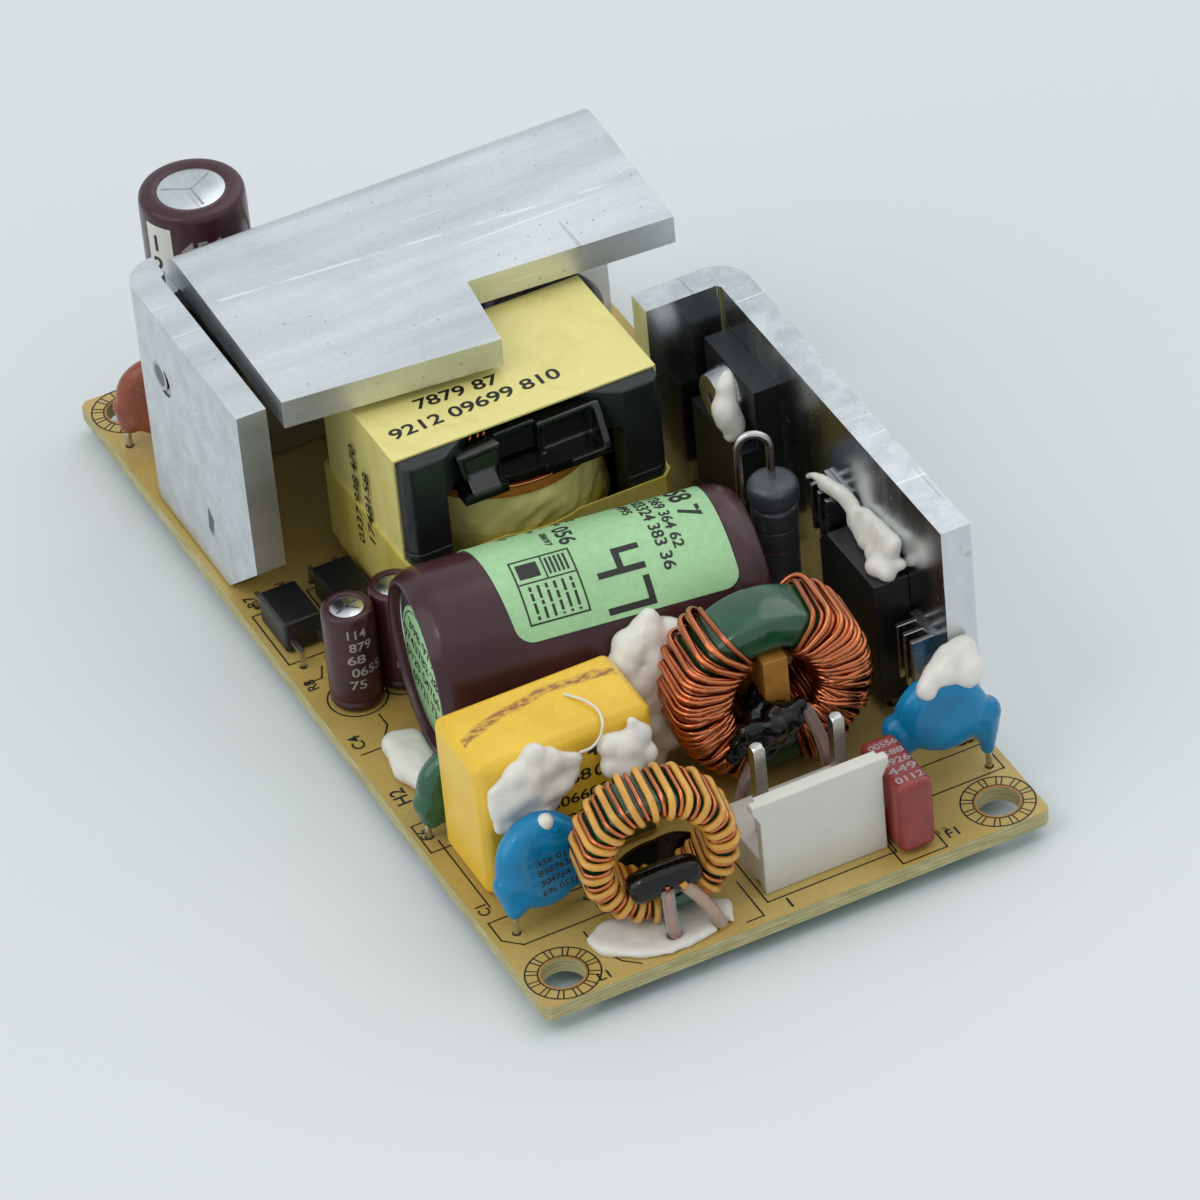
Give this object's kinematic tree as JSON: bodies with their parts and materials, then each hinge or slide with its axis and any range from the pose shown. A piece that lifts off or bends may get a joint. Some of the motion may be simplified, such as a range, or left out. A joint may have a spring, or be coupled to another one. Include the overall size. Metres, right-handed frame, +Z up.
{
  "type": "open frame power supply",
  "caption": "open frame power supply: transformer, chokes, capacitors and folded aluminium heatsinks on a bare circuit board with corner mounting holes",
  "frame": {"origin": "centre of the four mounting holes, on the underside of the circuit board", "axes": "X along the input edge, Y from the input edge to the output edge, Z up out of the board"},
  "size_m": [0.0508, 0.1016, 0.0297],
  "materials": {
    "board_laminate": "bare yellowish laminate, black print",
    "aluminium_sheet": "mill finish sheet, scratched and brushed",
    "ferrite": "ground dark ferrite",
    "black_moulding": "glossy black moulding",
    "yellow_tape": "wrinkled yellow polyester tape",
    "tinned_lead": "tinned wire and pins",
    "maroon_sleeve": "maroon shrink sleeve",
    "can_metal": "bare can end",
    "green_label": "pale green label",
    "yellow_box": "glossy yellow case",
    "blue_epoxy": "blue epoxy dip",
    "rust_epoxy": "rust brown epoxy dip",
    "green_epoxy": "dark green coating",
    "yellow_wire": "yellow enamelled wire",
    "copper_wire": "enamelled copper wire",
    "black_epoxy": "glossy black potting",
    "clear_sleeve": "clear sleeving",
    "tan_card": "tan insulating card",
    "nylon": "translucent white nylon",
    "red_case": "red brown case",
    "grey_lacquer": "grey lacquer with thin bands",
    "package_black": "moulded black package",
    "steel": "plated steel",
    "silicone": "white silicone adhesive",
    "solder": "bright solder"
  },
  "bodies": {
    "root": {"circuit_board": "board_laminate", "output_heatsink": "aluminium_sheet", "input_heatsink": "aluminium_sheet", "transformer_core_upper": "ferrite", "transformer_core_lower": "ferrite", "transformer_bobbin": "black_moulding", "transformer_winding": "yellow_tape", "transformer_tape": "yellow_tape", "transformer_pins": "tinned_lead", "bulk_capacitor": "maroon_sleeve", "bulk_capacitor_end": "can_metal", "rating_label": "green_label", "end_sticker": "green_label", "x_capacitor": "yellow_box", "line_y_capacitor": "blue_epoxy", "neutral_y_capacitor": "blue_epoxy", "rear_disc_capacitor": "rust_epoxy", "thermistor": "green_epoxy", "small_choke_core": "green_epoxy", "small_choke_yellow_winding": "yellow_wire", "small_choke_copper_winding": "copper_wire", "small_choke_epoxy": "black_epoxy", "small_choke_sleeves": "clear_sleeve", "big_choke_core": "green_epoxy", "big_choke_left_winding": "copper_wire", "big_choke_right_winding": "copper_wire", "big_choke_separator": "tan_card", "big_choke_epoxy": "black_epoxy", "big_choke_sleeves": "clear_sleeve", "input_connector_housing": "nylon", "input_connector_pins": "tinned_lead", "output_connector_housing": "nylon", "output_connector_pins": "tinned_lead", "fuse": "red_case", "snubber_resistor": "grey_lacquer", "snubber_resistor_lead": "tinned_lead", "switching_transistor": "package_black", "transistor_screw": "steel", "bridge_rectifier": "package_black", "rectifier_clip": "steel", "output_rectifier": "package_black", "output_rectifier_screw": "steel", "control_capacitor_front": "maroon_sleeve", "control_capacitor_rear": "maroon_sleeve", "optocoupler_left": "package_black", "optocoupler_right": "package_black", "output_capacitor_tall": "maroon_sleeve", "output_capacitor_short": "maroon_sleeve", "output_choke": "package_black", "capacitor_leads": "tinned_lead", "disc_leads": "tinned_lead", "semiconductor_leads": "tinned_lead", "wound_part_leads": "copper_wire", "silicone_adhesive": "silicone", "solder_joints": "solder", "control_chips": "package_black"}
  },
  "joints": []
}
